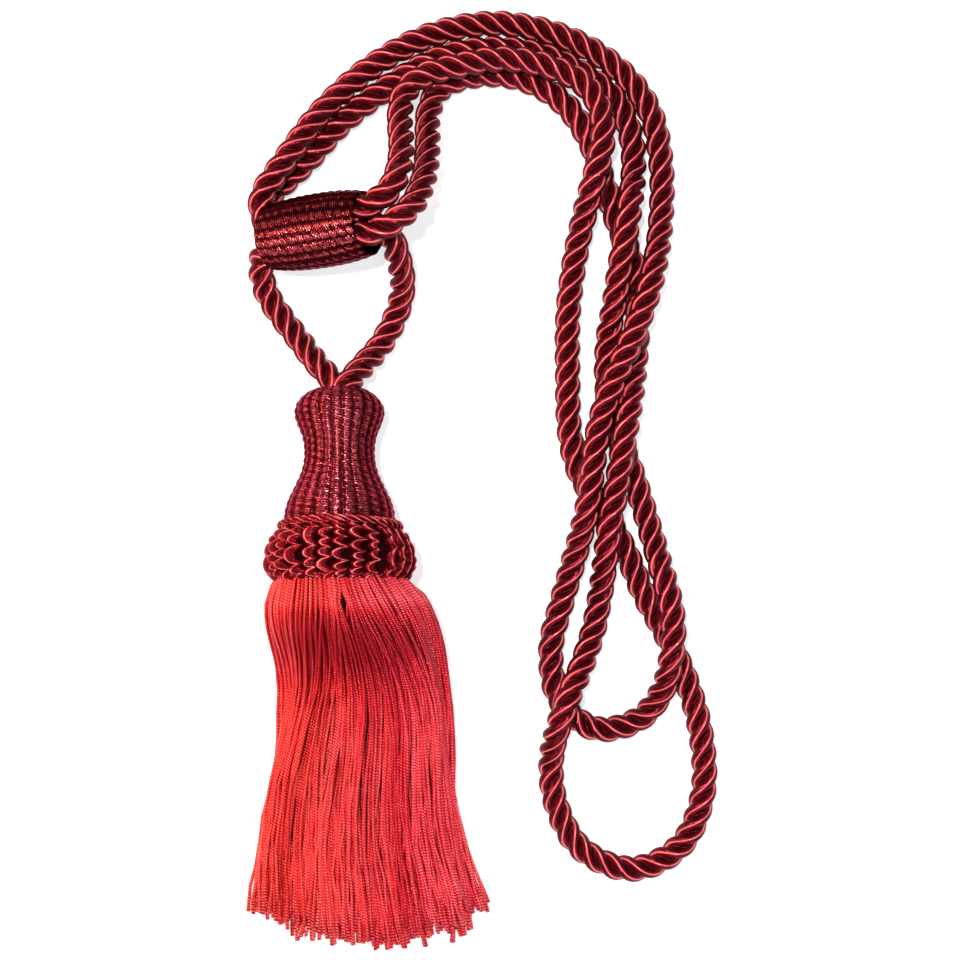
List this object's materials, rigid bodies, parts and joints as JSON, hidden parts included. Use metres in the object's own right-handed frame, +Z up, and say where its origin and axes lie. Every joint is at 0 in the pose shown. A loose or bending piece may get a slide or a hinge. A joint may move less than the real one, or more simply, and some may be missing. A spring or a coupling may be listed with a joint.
{
  "type": "curtain tieback tassel",
  "caption": "Tassel with a ribbed head, crimped collar and thread skirt on a doubled twisted rope with a thread-covered slider, laid out on a surface; ties back a curtain.",
  "frame": {"origin": "The middle of the flat under the collar, where the tassel rests on the surface.", "axes": "+X across the tassel towards the rope's loops, +Y from the skirt to the head, +Z up from the surface."},
  "size_m": [0.1826, 0.3573, 0.0557],
  "materials": {
    "rope": "satin rayon cord",
    "slider": "satin thread wound in ribs",
    "tassel_head": "satin thread wound in ribs",
    "collar": "crimped satin cord",
    "skirt": "twisted rayon thread"
  },
  "bodies": {
    "root": {"rope": "rope", "slider": "slider", "tassel_head": "tassel_head", "collar": "collar", "skirt": "skirt"}
  },
  "joints": []
}
